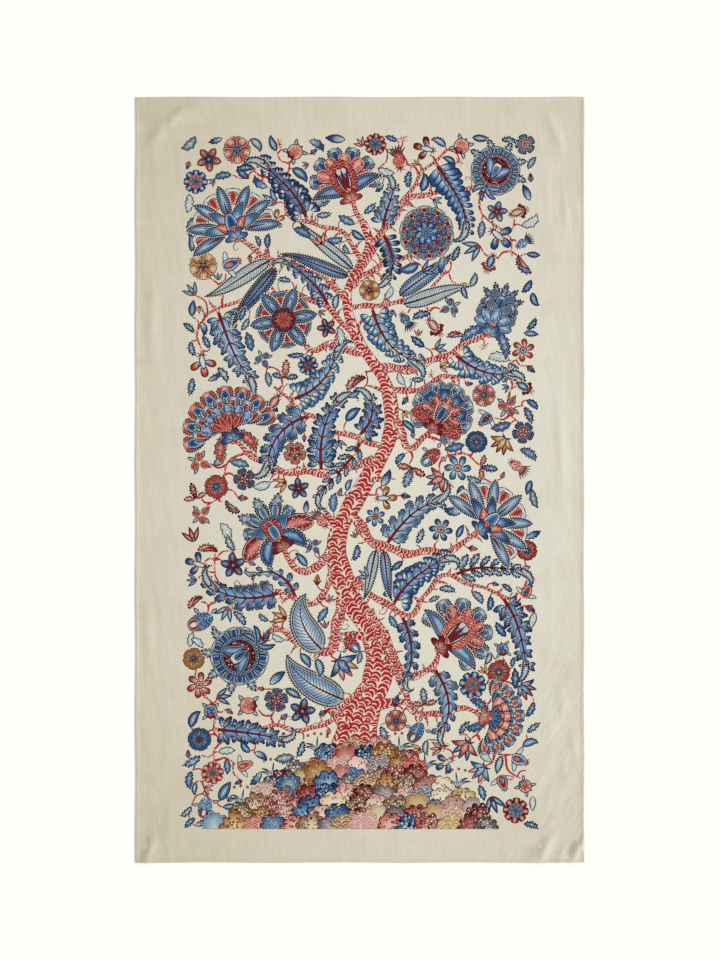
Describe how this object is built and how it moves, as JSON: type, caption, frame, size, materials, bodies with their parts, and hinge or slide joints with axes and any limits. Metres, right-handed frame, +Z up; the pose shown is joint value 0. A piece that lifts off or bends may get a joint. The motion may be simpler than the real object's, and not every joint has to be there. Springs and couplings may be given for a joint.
{
  "type": "kalamkari panel",
  "caption": "Flat cotton panel with a painted flowering tree on a mound, bare cream margins and a narrow turned hem.",
  "frame": {"origin": "on the surface the cloth lies on, under the middle of the cloth", "axes": "+Z up, out of the painted face; +Y towards the panel's top edge; +X to the right of the face"},
  "size_m": [1.2, 2.047, 0.0084],
  "materials": {
    "painted_cotton": "plain-weave cotton, undyed cream, with a painted and resist-dyed design in indigo and madder"
  },
  "bodies": {
    "root": {"cloth": "painted_cotton"}
  },
  "joints": []
}
